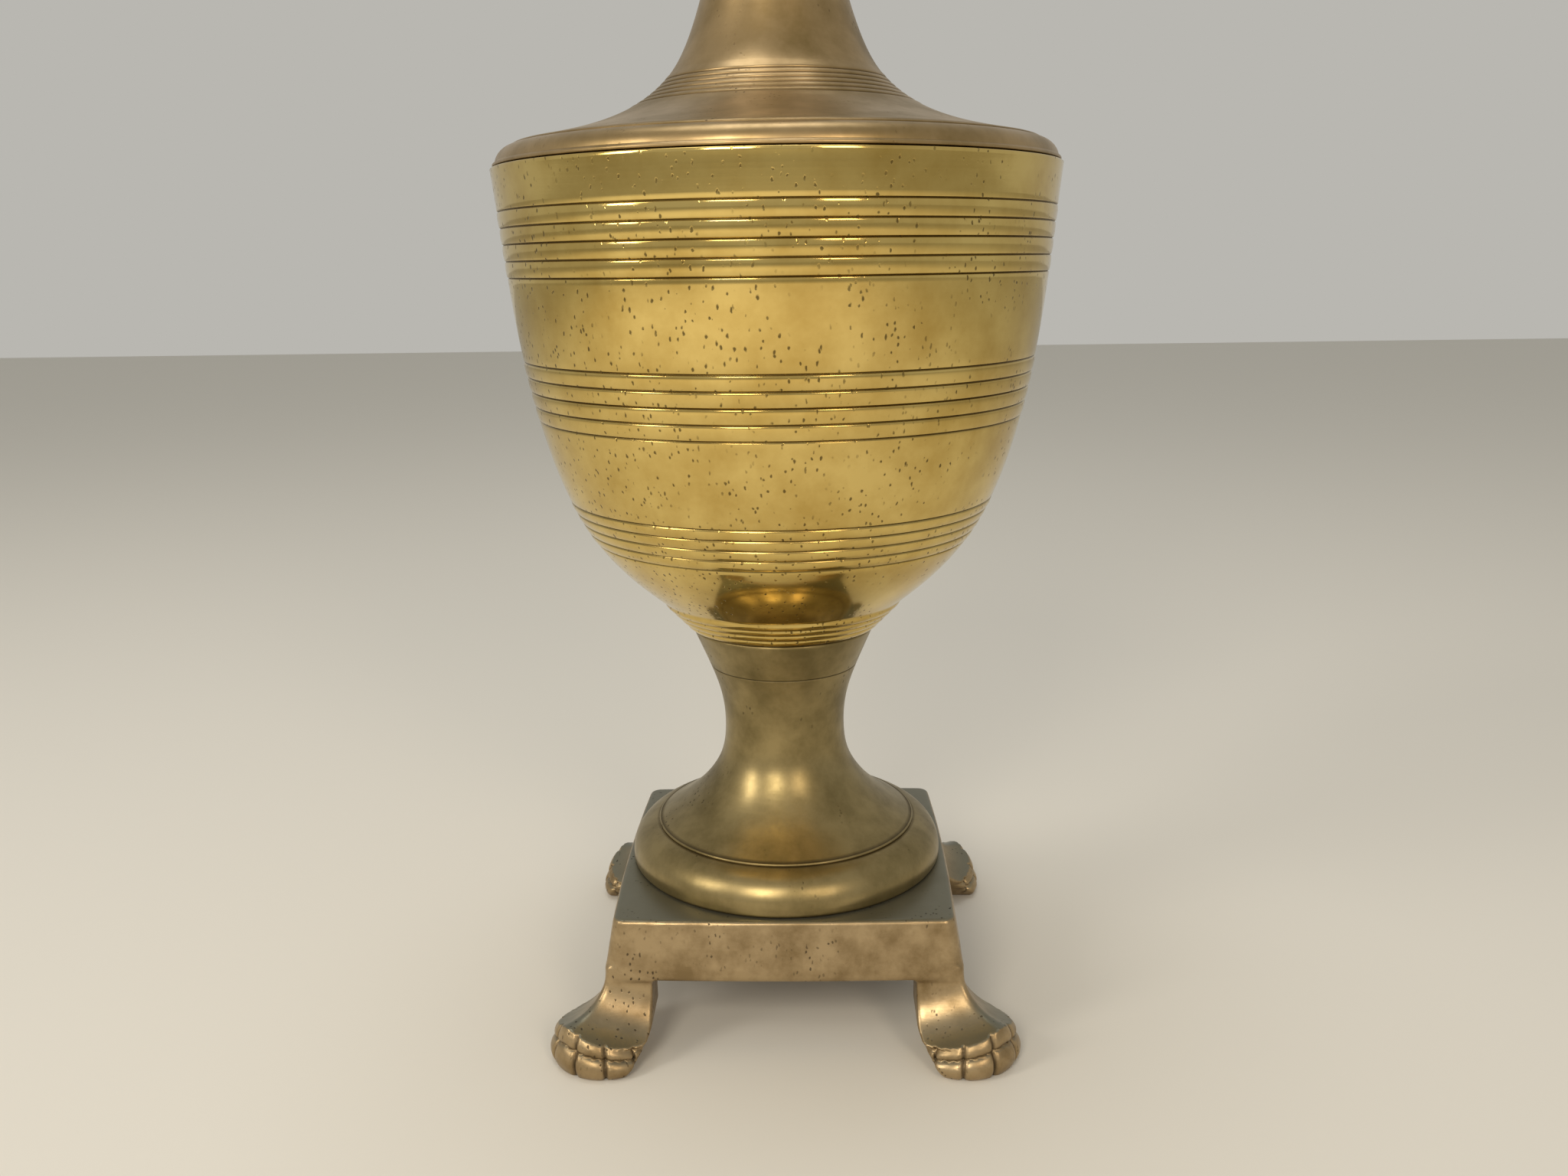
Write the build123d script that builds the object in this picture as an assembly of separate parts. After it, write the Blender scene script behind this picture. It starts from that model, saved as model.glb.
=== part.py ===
from build123d import *
import os
from math import cos, hypot, radians, sin, sqrt

# A turned and cast brass urn table lamp on a square plinth with four paw feet.
# Millimetres, +Z up. The origin is on the floor, on the lamp's centre line; -Y is the front.
# The harp stands in the XZ plane and the switch knob points to the front.

# ---------------------------------------------------------------- driving dimensions
# Plinth: one casting with a battered, bowed block, four legs and four paws.
plinth_top_z = 50.0          # height of the plinth's top face
plinth_margin = 0.6          # plinth standing out past the base ring, at the middle of a side
plinth_batter = 3.0          # how far the sides lean out on their way down
plinth_bow = 1.5             # how far each side swells between its corners
plinth_corner_r = 4.0
plinth_plate = 6.0           # thickness of the top plate over the hollow underside
apron_bottom_z = 27.6        # lower edge of the apron between two legs
apron_wall = 5.0
leg_w = 13.7                 # from the plinth's edge in to a leg's inner faces
cove_r = 20.0                # radius of the hollow sweep from leg to paw
cove_z = 32.5                # height where that sweep starts
cove_rise = 0.3              # rise of the sweep towards the paw's outer corner
paw_out = 0.3                # how far a paw's axis stands outside the sides, in X and in Y
paw_r = 20.5                 # radius of the paw over its toes
paw_knuckle_z = 9.0
paw_top_z = 16.0
paw_undercut = 7.5           # how far the paw draws in under the leg's inner faces
toe_pitch_deg = 34.0
toe_groove_w = 1.1
toe_groove_d = 2.2           # below the fullest part of a toe

# Turned base ring and pedestal.
lip_r = 50.2                 # radius of the bell's lip, where it stands on the base ring
ring_out = 10.4              # base ring standing out past the lip
ring_h = 15.2
ring_wall = 4.0
ring_step = 0.8              # undercut at the ring's foot
lip_h = 1.1
waist_r = 23.1
waist_h = 37.0               # waist above the bell's lip
stem_top_r = 35.0
stem_h = 79.0                # pedestal height, lip to top
pedestal_wall = 3.0

# Spun urn body.
urn_h = 166.0                # from the stem to the rim
rim_r = 99.8
urn_wall = 2.0
band_h = 10.4                # reeded band at the foot of the urn
band_out = 10.0
band_reeds = 4
band_reed_h = 0.6
urn_floor = 3.0
groove_w = 0.9
groove_d = 0.5
groove_groups = [(0.212, 3.85, 5), (0.4837, 5.2, 5), (0.7819, 5.5, 5)]  # share of urn_h, pitch, count

# Shoulder ring and trumpet neck.
shoulder_step = 0.9          # how much smaller than the rim the ring is
shoulder_edge = 1.6          # upright edge over the rim
shoulder_h = 7.4
spigot_h = 6.0
spigot_wall = 2.0
neck_h = 122.4
neck_set_in = 8.4            # neck's foot inside the shoulder ring's edge
neck_top_r = 13.5
neck_wall = 1.8
neck_reed_first = 13.4       # lowest neck groove above the neck's foot
neck_reed_pitch = 1.62
neck_reeds = 6
neck_groove_w = 0.6
neck_groove_d = 0.4
collar_r = 19.0
collar_h = 8.0
collar_tenon = 4.0           # how far the collar reaches down inside the neck
vase_cap_r = 16.5
vase_cap_h = 7.0

# Centre rod and its hardware.
rod_r = 5.0
rod_bore_r = 3.4
rod_tail = 4.6               # rod standing out below its nut
rod_into_socket = 8.0        # how far the rod stands up into the socket cap
hole_clearance = 0.2         # radial, around the rod
washer_t = 2.0
strongback_r = 20.0
lock_washer_r = 9.0
lock_washer_t = 1.4
nut_flats = 19.0
nut_h = 5.0
bushing_r = 7.5
bushing_bore_r = 3.0
bushing_h = 2.6
bushing_sleeve = 4.0         # length of the bushing inside the rod
top_nut_h = 4.0
disc_t = 1.6

# Lampholder.
cap_h = 19.0
cap_wall = 0.95
cap_hub_wall = 2.6
cap_hub_h = 5.0
cap_shoulder_in = 2.6        # how far the cap's curve lies inside its rim half way up
shell_lap = 4.0              # how far the shell stands inside the cap
shell_h = 47.0
shell_wall = 0.6
liner_wall = 0.5
liner_h = 38.0
nest_clearance = 0.15        # radial, between shell, liner and switch block
block_clearance = 0.45       # radial, inside the liner
block_h = 24.0
block_lift = 3.0             # gap between the rod's end and the switch block
block_chamfer = 3.5
screw_shell_r = 13.2         # radius inside the lamp thread
screw_shell_wall = 0.5
screw_shell_h = 25.0
screw_shell_gap = 0.95       # radial, inside the liner
contact_r = 5.0
contact_t = 0.4              # thinner than the screw shell's foot, so the bulb's way is clear
contact_slot = 0.6           # width of the slot that frees the tongue
knob_shaft_r = 1.6
knob_r = 5.2
knob_len = 12.0
knob_seat = 6.0              # depth of the shaft's hole in the switch block
knob_standoff = 7.0          # knob's face from the shell
knob_share = 0.62            # shaft's height as a share of the switch block
knob_hole_gap = 1.4          # radial, around the shaft where it passes the shell
knob_flutes = 14
terminal_recess = 2.0
terminal_h = 8.0             # wiring screws above the switch block's foot
terminal_r = 1.6
terminal_head_r = 3.1
terminal_head_t = 1.4
running_clearance = 0.05     # radial, for what turns or slides
set_screw_r = 1.5
set_screw_len = 5.5

# Harp, its saddle, stud and finial.
saddle_half = 26.0
saddle_eye_wall = 0.3         # metal left beside the rod's hole
saddle_t = 1.6
saddle_tab_t = 4.0
saddle_tab_h = 12.0
harp_joint_h = 20.0          # where the harp's legs meet the saddle's pins, above the saddle
wire_r = 1.8
harp_h = 229.0
harp_half = 57.0
ferrule_wall = 1.75
ferrule_h = 12.0
stud_r = 3.175
stud_h = 12.0
stud_collar_r = 6.0
stud_collar_wall = 1.2       # metal over and under the wire
finial_r = 9.5
finial_h = 36.0

# ---------------------------------------------------------------- sizes that follow
ring_r = lip_r + ring_out
plinth_half = ring_r + plinth_margin
plinth_foot_half = plinth_half + plinth_batter
leg_inner = plinth_half - leg_w
paw_offset = plinth_foot_half + paw_out
shoulder_r = rim_r - shoulder_step
neck_foot_r = shoulder_r - neck_set_in
liner_r = screw_shell_r + screw_shell_wall + screw_shell_gap + liner_wall
block_r = liner_r - liner_wall - block_clearance
shell_r = liner_r + nest_clearance + shell_wall
cap_r = shell_r + nest_clearance + cap_wall
ferrule_r = wire_r + running_clearance + ferrule_wall
hole_r = rod_r + hole_clearance
saddle_w = 2 * (hole_r + saddle_eye_wall)

# ---------------------------------------------------------------- heights up the lamp
ring_z = plinth_top_z
lip_z = ring_z + ring_h
stem_top_z = lip_z + stem_h
rim_z = stem_top_z + urn_h
neck_z = rim_z + shoulder_h
neck_top_z = neck_z + neck_h
collar_top_z = neck_top_z + collar_h
saddle_z = collar_top_z + vase_cap_h
cap_z = saddle_z + saddle_t
harp_top_z = saddle_z + harp_h
stud_z = harp_top_z + wire_r + stud_collar_wall
plate_z = plinth_top_z - plinth_plate
nut_bottom_z = plate_z - washer_t - lock_washer_t - nut_h
rod_bottom_z = nut_bottom_z - rod_tail
rod_top_z = cap_z + rod_into_socket
shell_bottom_z = cap_z + cap_h - shell_lap
shell_top_z = shell_bottom_z + shell_h
block_bottom_z = rod_top_z + block_lift
block_top_z = block_bottom_z + block_h
knob_z = block_bottom_z + knob_share * block_h
joint_z = saddle_z + harp_joint_h


# ---------------------------------------------------------------- helpers
def filled(*curves):
    """The flat face inside a closed outline made of several curves."""
    return make_face(Wire([edge for curve in curves for edge in curve.edges()]))


def turned(*curves):
    """Revolve a closed outline, drawn as (radius, 0, height) curves, about the centre line."""
    return revolve(filled(*curves), Axis.Z, 360)


def rz(points):
    return [(r, 0, z) for r, z in points]


def inner_points(points, wall):
    """Move each point of an outline inwards by the wall, square to the outline."""
    moved = []
    for i, (r, z) in enumerate(points):
        r0, z0 = points[max(i - 1, 0)]
        r1, z1 = points[min(i + 1, len(points) - 1)]
        length = hypot(r1 - r0, z1 - z0)
        moved.append((r - wall * (z1 - z0) / length, z + wall * (r1 - r0) / length))
    return moved


def washer(outer_r, inner_r, bottom_z, thickness):
    ring = Cylinder(outer_r, thickness) - Cylinder(inner_r, thickness)
    return Pos(0, 0, bottom_z + thickness / 2) * ring


def post(radius, bottom_z, top_z, x=0.0, y=0.0):
    return Pos(x, y, (bottom_z + top_z) / 2) * Cylinder(radius, top_z - bottom_z)


def save(shape, node):
    shape.label = node
    export_step(shape, f"parts/{node}.step")


# ---------------------------------------------------------------- plinth
def bowed_square(half, z):
    """A square with sides that swell outwards, rounded at its corners."""
    corners = [(-half, -half), (half, -half), (half, half), (-half, half)]
    swell = [(0, -half - plinth_bow), (half + plinth_bow, 0), (0, half + plinth_bow), (-half - plinth_bow, 0)]
    sides = [ThreePointArc(corners[i], swell[i], corners[(i + 1) % 4]) for i in range(4)]
    face = filled(*sides)
    face = fillet(face.vertices(), plinth_corner_r)
    return Pos(0, 0, z) * face


def cove_cutter():
    """The space outside the hollow sweep on a paw's front, rising towards the outer corner."""
    start = leg_inner - 4
    z = cove_z - cove_rise * (paw_offset - start)
    y = plinth_foot_half
    far = y + cove_r + 20
    low = (start, y + cove_r, z - cove_r)
    middle = (start, y + cove_r * (1 - sin(radians(45))), z - cove_r * sin(radians(45)))
    outside = filled(
        ThreePointArc((start, y, z), middle, low),
        Polyline(low, (start, far, z - cove_r), (start, far, z + 60), (start, y, z + 60), (start, y, z)),
    )
    reach = far - start
    return extrude(outside, amount=reach * sqrt(1 + cove_rise ** 2), dir=(1, 0, cove_rise))


def paw_turning():
    """Toe rows turned about the paw's own axis, with a corbel that carries the leg's heel."""
    k = paw_knuckle_z
    r = paw_r
    lower = ThreePointArc((r - 2.1, 0, 0), (r, 0, 0.47 * k), (r - 1.5, 0, k))
    upper = Polyline((r - 2.2, 0, k + 0.6), (r - 2.0, 0, k + 3), (r - 3.3, 0, paw_top_z - 1.5))
    flare = cove_z - paw_top_z
    turning = Rot(0, 0, 225) * turned(
        Line((0, 0, 0), (r - 2.1, 0, 0)),
        lower,
        Line((r - 1.5, 0, k), (r - 2.2, 0, k + 0.6)),
        upper,
        Polyline((r - 3.3, 0, paw_top_z - 1.5), (r - 3.3, 0, paw_top_z), (r - 3.3 + flare, 0, cove_z),
                 (0, 0, cove_z), (0, 0, 0)),
    )
    for step in (-1.5, -0.5, 0.5, 1.5):
        angle = 45 + step * toe_pitch_deg
        reach = r - toe_groove_d + 3
        slot = Box(6, toe_groove_w, 2 * paw_top_z)
        turning -= Pos(reach * cos(radians(angle)), reach * sin(radians(angle))) * Rot(0, 0, angle) * slot
    return Pos(paw_offset, paw_offset, 0) * turning


def leg():
    """One leg with its paw, at the corner where X and Y are both positive."""
    reach = paw_offset + paw_r + 5
    side = reach - leg_inner
    blank = Pos(leg_inner + side / 2, leg_inner + side / 2, cove_z / 2) * Box(side, side, cove_z)
    cutter = cove_cutter()
    blank -= cutter
    blank -= mirror(cutter, Plane((0, 0, 0), z_dir=(1, -1, 0)))
    slope = make_face(Polyline((0, 0, -1), (leg_inner + paw_undercut, 0, -1), (leg_inner, 0, paw_knuckle_z + 3),
                               (0, 0, paw_knuckle_z + 3), close=True))
    undercut = extrude(slope, amount=-reach)
    undercut += extrude(slope, amount=reach)
    blank -= undercut
    blank -= mirror(undercut, Plane((0, 0, 0), z_dir=(1, -1, 0)))
    column = plinth_half - apron_wall / 2 - leg_inner
    column_h = plinth_top_z - plinth_plate - apron_bottom_z
    root = Pos(leg_inner + column / 2, leg_inner + column / 2, apron_bottom_z + column_h / 2)
    return (blank & paw_turning()) + root * Box(column, column, column_h)


def plinth():
    block = loft([bowed_square(plinth_foot_half, cove_z), bowed_square(plinth_half, plinth_top_z)], ruled=True)
    block += extrude(bowed_square(plinth_foot_half, apron_bottom_z), amount=cove_z - apron_bottom_z)
    hollow_top = plinth_top_z - plinth_plate
    hollow = extrude(bowed_square(plinth_half - apron_wall, apron_bottom_z - 1),
                     amount=hollow_top - apron_bottom_z + 1)
    body = block - hollow
    one_leg = leg()
    for turn in range(4):
        body += Rot(0, 0, 90 * turn) * one_leg
    return body - post(hole_r, hollow_top - 1, plinth_top_z + 1)


# ---------------------------------------------------------------- turned brass
def base_ring():
    """Quarter-round ring between the plinth and the bell."""
    top = ring_z + ring_h
    swell = (lip_r + (ring_r - lip_r) * 0.80, 0, ring_z + ring_h * 0.66)
    return turned(
        Line((lip_r - 6, 0, top), (lip_r + 0.6, 0, top)),
        ThreePointArc((lip_r + 0.6, 0, top), swell, (ring_r, 0, ring_z + 2.2)),
        Polyline((ring_r, 0, ring_z + 2.2), (ring_r - ring_step, 0, ring_z), (ring_r - ring_wall - ring_step, 0, ring_z),
                 (ring_r - ring_wall - ring_step, 0, ring_z + 3), (lip_r - 6, 0, top - ring_wall),
                 (lip_r - 6, 0, top)),
    )


def pedestal_outline():
    """Outside from the lip in to the waist, then out to the stem's top, as shares of each swell."""
    bell = [(1, 0), (0.568, 0.203), (0.273, 0.429), (0.063, 0.708), (0, 1)]
    stem = [(0.10, 0.333), (0.53, 0.69), (1, 1)]
    z0, z1 = lip_z + lip_h, lip_z + waist_h
    lower = [(waist_r + (lip_r - waist_r) * a, z0 + (z1 - z0) * b) for a, b in bell]
    upper = [(waist_r + (stem_top_r - waist_r) * a, z1 + (stem_top_z - z1) * b) for a, b in stem]
    return lower + upper


def pedestal():
    outer = pedestal_outline()
    inner = inner_points(outer, pedestal_wall)
    inner[0] = (lip_r - pedestal_wall, lip_z)
    inner[-1] = (stem_top_r - pedestal_wall - 1.5, stem_top_z - pedestal_wall)
    return turned(
        Spline(*rz(outer)),
        Polyline((stem_top_r, 0, stem_top_z), (hole_r, 0, stem_top_z), (hole_r, 0, stem_top_z - pedestal_wall),
                 (inner[-1][0], 0, inner[-1][1])),
        Spline(*rz(inner[::-1])),
        Polyline((inner[0][0], 0, inner[0][1]), (lip_r, 0, lip_z), (lip_r, 0, lip_z + lip_h)),
    )


def urn_outline():
    """Outside of the bowl from the reeded band to the rim, as shares of its growth in radius and height."""
    r0 = stem_top_r + band_out
    z0 = stem_top_z + band_h
    grow = [(0, 0), (0.184, 0.054), (0.432, 0.15), (0.644, 0.292), (0.803, 0.484), (0.90, 0.678),
            (0.96, 0.87), (1, 1)]
    return [(r0 + (rim_r - r0) * a, z0 + (rim_z - z0) * b) for a, b in grow]


def full_turning(points):
    """A solid with no bore, whose side is a smooth curve through the points, lowest first."""
    first, last = points[0], points[-1]
    return turned(
        Spline(*rz(points)),
        Polyline((last[0], 0, last[1]), (0, 0, last[1]), (0, 0, first[1]), (first[0], 0, first[1])),
    )


def reeded_band():
    """Cone at the foot of the bowl, turned into round reeds."""
    pitch_r = band_out / band_reeds
    pitch_z = band_h / band_reeds
    bulge = band_reed_h / hypot(pitch_r, pitch_z)
    edges = []
    for i in range(band_reeds):
        r, z = stem_top_r + i * pitch_r, stem_top_z + i * pitch_z
        middle = (r + pitch_r / 2 + bulge * pitch_z, 0, z + pitch_z / 2 - bulge * pitch_r)
        edges.append(ThreePointArc((r, 0, z), middle, (r + pitch_r, 0, z + pitch_z)))
    top_r = stem_top_r + band_out
    top_z = stem_top_z + band_h
    back = Polyline((top_r, 0, top_z), (0, 0, top_z), (0, 0, stem_top_z), (stem_top_r, 0, stem_top_z))
    return turned(*edges, back)


def urn_body():
    outline = urn_outline()
    hollow = inner_points(outline, urn_wall)
    hollow[-1] = (rim_r - urn_wall, rim_z)
    floor_z = stem_top_z + urn_floor
    well = post(stem_top_r - urn_wall, floor_z, hollow[0][1] + 1)
    body = full_turning(outline) + reeded_band() - full_turning(hollow) - well
    groove_floor = inner_points(outline, groove_d)
    groove_floor[-1] = (rim_r - groove_d, rim_z)
    core = full_turning(groove_floor)
    for first, pitch, count in groove_groups:
        for i in range(count):
            z = stem_top_z + first * urn_h + i * pitch
            slab = post(rim_r + 10, z - groove_w / 2, z + groove_w / 2)
            body -= slab - core
    return body - post(hole_r, stem_top_z - 1, floor_z + 1)


def shoulder_ring():
    """Turned ring that closes the rim, with a spigot inside the urn."""
    top = neck_z
    (r0, z0), (r1, z1) = urn_outline()[-2:]
    lean = (r1 - r0) / (z1 - z0)
    fit_r = rim_r - urn_wall - lean * spigot_h - 2 * nest_clearance
    middle = ((shoulder_r + neck_foot_r) / 2, 0, top - 0.28 * shoulder_h)
    return turned(
        Polyline((shoulder_r, 0, rim_z), (shoulder_r, 0, rim_z + shoulder_edge),
                 (shoulder_r - 0.8, 0, rim_z + shoulder_edge)),
        ThreePointArc((shoulder_r - 0.8, 0, rim_z + shoulder_edge), middle, (neck_foot_r + 0.8, 0, top + 0.6)),
        Polyline((neck_foot_r + 0.8, 0, top + 0.6), (neck_foot_r + 0.3, 0, top + 0.6), (neck_foot_r + 0.3, 0, top),
                 (neck_foot_r - 8, 0, top), (neck_foot_r - 8, 0, top - 2), (fit_r - spigot_wall, 0, rim_z),
                 (fit_r - spigot_wall, 0, rim_z - spigot_h), (fit_r, 0, rim_z - spigot_h), (fit_r, 0, rim_z),
                 (shoulder_r, 0, rim_z)),
    )


def neck_outline():
    """Outside of the trumpet, as shares of its narrowing and its height."""
    narrow = [(0, 0.006), (0.396, 0.07), (0.583, 0.13), (0.71, 0.207), (0.795, 0.309), (0.863, 0.441),
              (0.934, 0.65), (1, 1)]
    return [(neck_foot_r - (neck_foot_r - neck_top_r) * a, neck_z + neck_h * b) for a, b in narrow]


def neck():
    outline = neck_outline()
    hollow = inner_points(outline, neck_wall)
    hollow[0] = (neck_foot_r - 2.5 * neck_wall, neck_z)
    hollow[-1] = (neck_top_r - neck_wall, neck_top_z)
    edge = post(neck_foot_r, neck_z, outline[0][1])
    body = full_turning(outline) + edge - full_turning(hollow)
    reed_floor = inner_points(outline, neck_groove_d)
    reed_floor[0] = (neck_foot_r - neck_groove_d, outline[0][1])
    reed_floor[-1] = (neck_top_r - neck_groove_d, neck_top_z)
    core = full_turning(reed_floor) + post(neck_foot_r - neck_groove_d, neck_z - 1, outline[0][1])
    for i in range(neck_reeds):
        z = neck_z + neck_reed_first + i * neck_reed_pitch
        body -= post(neck_foot_r, z - neck_groove_w / 2, z + neck_groove_w / 2) - core
    return body


def neck_collar():
    """Bead ring that caps the neck and steps down inside it."""
    z0, z1 = neck_top_z, collar_top_z
    return turned(
        Line((collar_r - 3, 0, z0), (collar_r - 2, 0, z0)),
        ThreePointArc((collar_r - 2, 0, z0), (collar_r, 0, z0 + 2.5), (collar_r - 2, 0, z0 + 5)),
        Polyline((collar_r - 2, 0, z0 + 5), (collar_r - 3.5, 0, z1), (hole_r, 0, z1), (hole_r, 0, z0 - collar_tenon),
                 (neck_top_r - neck_wall - nest_clearance, 0, z0 - collar_tenon),
                 (neck_top_r - neck_wall - nest_clearance, 0, z0), (collar_r - 3, 0, z0)),
    )


def vase_cap():
    """Small stepped cup under the harp saddle."""
    z0, z1 = collar_top_z, saddle_z
    return turned(
        Line((hole_r, 0, z0), (vase_cap_r - 3, 0, z0)),
        ThreePointArc((vase_cap_r - 3, 0, z0), (vase_cap_r - 1, 0, z0 + 1.7), (vase_cap_r, 0, z0 + 4)),
        Polyline((vase_cap_r, 0, z0 + 4), (vase_cap_r, 0, z0 + 5.2), (vase_cap_r - 3, 0, z1), (hole_r, 0, z1),
                 (hole_r, 0, z0)),
    )


# ---------------------------------------------------------------- centre rod and its hardware
def center_rod():
    return washer(rod_r, rod_bore_r, rod_bottom_z, rod_top_z - rod_bottom_z)


def strongback():
    return washer(strongback_r, hole_r, plate_z - washer_t, washer_t)


def lock_washer():
    ring = washer(lock_washer_r, hole_r, plate_z - washer_t - lock_washer_t, lock_washer_t)
    return ring - Pos(lock_washer_r, 0, plate_z) * Box(2 * (lock_washer_r - rod_r), 1.2, 20)


def hex_nut(bottom_z, bore_r):
    prism = extrude(Pos(0, 0, bottom_z) * RegularPolygon(nut_flats / 2, 6, major_radius=False), amount=nut_h)
    return prism - post(bore_r, bottom_z - 1, bottom_z + nut_h + 1)


def rod_nut():
    return hex_nut(nut_bottom_z, rod_r)


def cord_bushing():
    """Rounded sleeve that keeps a cord off the rod's cut end."""
    z1 = rod_bottom_z
    z0 = z1 - bushing_h
    bush = washer(bushing_r, bushing_bore_r, z0, bushing_h)
    bush = fillet(bush.edges().filter_by(GeomType.CIRCLE).group_by(Axis.Z)[0], 0.9)
    return bush + washer(rod_bore_r, bushing_bore_r, z1, bushing_sleeve)


def centring_disc():
    """Disc on top of the plinth that centres the base ring on the rod."""
    return washer(ring_r - ring_wall - ring_step - nest_clearance, hole_r, plinth_top_z, disc_t)


def urn_washer():
    return washer(stem_top_r - urn_wall - 4, hole_r, stem_top_z + urn_floor, washer_t)


def urn_nut():
    return hex_nut(stem_top_z + urn_floor + washer_t, rod_r)


def top_nut():
    """Round knurled nut under the collar, inside the neck's top."""
    return washer(neck_top_r - neck_wall - 2.4, rod_r, neck_top_z - collar_tenon - top_nut_h, top_nut_h)


# ---------------------------------------------------------------- lampholder
def socket_cap():
    z = cap_z
    hub_r = rod_r + cap_hub_wall
    hub_top = z + cap_hub_h
    inner_hub_z = hub_top + cap_wall + 0.55
    rim_z0, rim_z1 = shell_bottom_z, z + cap_h
    rim_in = shell_r + nest_clearance
    curve = (cap_r - cap_shoulder_in, 0, z + 0.55 * cap_h)
    inner_curve = (cap_r - cap_shoulder_in - cap_wall, 0, z + 0.55 * cap_h + 0.6)
    body = turned(
        Polyline((rod_r, 0, z), (hub_r, 0, z), (hub_r, 0, hub_top)),
        ThreePointArc((hub_r, 0, hub_top), curve, (cap_r, 0, rim_z0)),
        Polyline((cap_r, 0, rim_z0), (cap_r, 0, rim_z1), (rim_in, 0, rim_z1), (rim_in, 0, rim_z0)),
        ThreePointArc((rim_in, 0, rim_z0), inner_curve, (hub_r - 0.6, 0, inner_hub_z)),
        Polyline((hub_r - 0.6, 0, inner_hub_z), (rod_r, 0, inner_hub_z), (rod_r, 0, z)),
    )
    return body - set_screw_tool(set_screw_r)


def set_screw_tool(radius):
    """Radial cylinder through the hub, towards the back, down to the rod's surface."""
    middle = Pos(0, rod_r + set_screw_len / 2, cap_z + cap_hub_h / 2)
    return middle * Rot(90, 0, 0) * Cylinder(radius, set_screw_len)


def socket_set_screw():
    slot = Pos(0, rod_r + set_screw_len, cap_z + cap_hub_h / 2) * Box(4 * set_screw_r, 1.2, 0.6)
    return set_screw_tool(set_screw_r) - slot


def side_hole(radius):
    """Hole through the front wall of the shell and liner for the switch shaft."""
    return Pos(0, -shell_r, knob_z) * Rot(90, 0, 0) * Cylinder(radius, 12)


def socket_shell():
    tube = washer(shell_r, shell_r - shell_wall, shell_bottom_z, shell_h)
    lip = washer(shell_r + 0.5, shell_r - shell_wall, shell_top_z - 1.4, 1.4)
    lip = fillet(lip.edges().filter_by(GeomType.CIRCLE).sort_by(SortBy.RADIUS)[-2:], 0.45)
    return tube + lip - side_hole(knob_shaft_r + knob_hole_gap)


def socket_liner():
    return washer(liner_r, liner_r - liner_wall, shell_bottom_z, liner_h) - side_hole(knob_shaft_r + knob_hole_gap)


def switch_block():
    block = post(block_r, block_bottom_z, block_top_z)
    block = chamfer(block.edges().filter_by(GeomType.CIRCLE).sort_by(Axis.Z)[0], block_chamfer)
    block -= Pos(0, -block_r, knob_z) * Rot(90, 0, 0) * Cylinder(knob_shaft_r + running_clearance, 2 * knob_seat)
    for side in (-1, 1):
        block -= terminal_screw(side, block_bottom_z + terminal_h)
        block -= Pos(side * (block_r - 0.5), 0, block_bottom_z + terminal_h) * Box(3.2, 8, 9)
    return block


def terminal_screw(side, z):
    """Round-headed wiring screw lying along X, its head in a recess of the block."""
    head_x = block_r - terminal_recess
    shank = Pos(side * (head_x - 2.5), 0, z) * Rot(0, 90, 0) * Cylinder(terminal_r, 5)
    head = Pos(side * (head_x + terminal_head_t / 2), 0, z) * Rot(0, 90, 0) * Cylinder(terminal_head_r, terminal_head_t)
    return shank + head


def terminal_screws():
    return Compound([terminal_screw(side, block_bottom_z + terminal_h) for side in (-1, 1)])


def screw_shell():
    """Thin lamp-thread shell with a flat foot on the switch block."""
    outer = screw_shell_r + screw_shell_wall
    tube = washer(outer, screw_shell_r, block_top_z, screw_shell_h)
    foot = washer(outer, contact_r + 2, block_top_z, screw_shell_wall)
    return tube + foot


def centre_contact():
    """Brass disc with a sprung tongue freed by a U-shaped slot, shown pressed flat as a bulb leaves it."""
    disc = post(contact_r, block_top_z, block_top_z + contact_t)
    tongue = Pos(0, 0, block_top_z) * Box(1.3 * contact_r, 0.7 * contact_r, 2)
    around = Box(1.3 * contact_r + contact_slot, 0.7 * contact_r + 2 * contact_slot, 2)
    around = Pos(contact_slot / 2, 0, block_top_z) * around
    return disc - (around - tongue)


def switch_knob():
    """Shaft and fluted turn knob, pointing to the front."""
    inner_y = -(block_r - knob_seat + 0.4)
    face_y = -(shell_r + knob_standoff)
    shaft = Pos(0, (inner_y + face_y) / 2, knob_z) * Rot(90, 0, 0) * Cylinder(knob_shaft_r, inner_y - face_y)
    grip = Pos(0, face_y - knob_len / 2, knob_z) * Rot(90, 0, 0) * Cylinder(knob_r, knob_len)
    grip = fillet(grip.edges().filter_by(GeomType.CIRCLE), 0.8)
    for i in range(knob_flutes):
        angle = 360 * i / knob_flutes
        flute = Pos(knob_r * cos(radians(angle)), 0, knob_r * sin(radians(angle)))
        grip -= Pos(0, face_y - knob_len / 2, knob_z) * flute * Rot(90, 0, 0) * Cylinder(0.7, knob_len + 2)
    return shaft + grip


# ---------------------------------------------------------------- harp, stud and finial
def harp_saddle():
    strip = Pos(0, 0, saddle_z + saddle_t / 2) * Box(2 * saddle_half + saddle_w * 0.6, saddle_w, saddle_t)
    strip -= post(hole_r, saddle_z - 1, saddle_z + 5)
    for side in (-1, 1):
        x = side * saddle_half
        strip += Pos(x, 0, saddle_z + saddle_tab_h / 2) * Box(saddle_tab_t, saddle_w * 0.6, saddle_tab_h)
        strip += post(wire_r, saddle_z, joint_z, x)
    return strip


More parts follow.
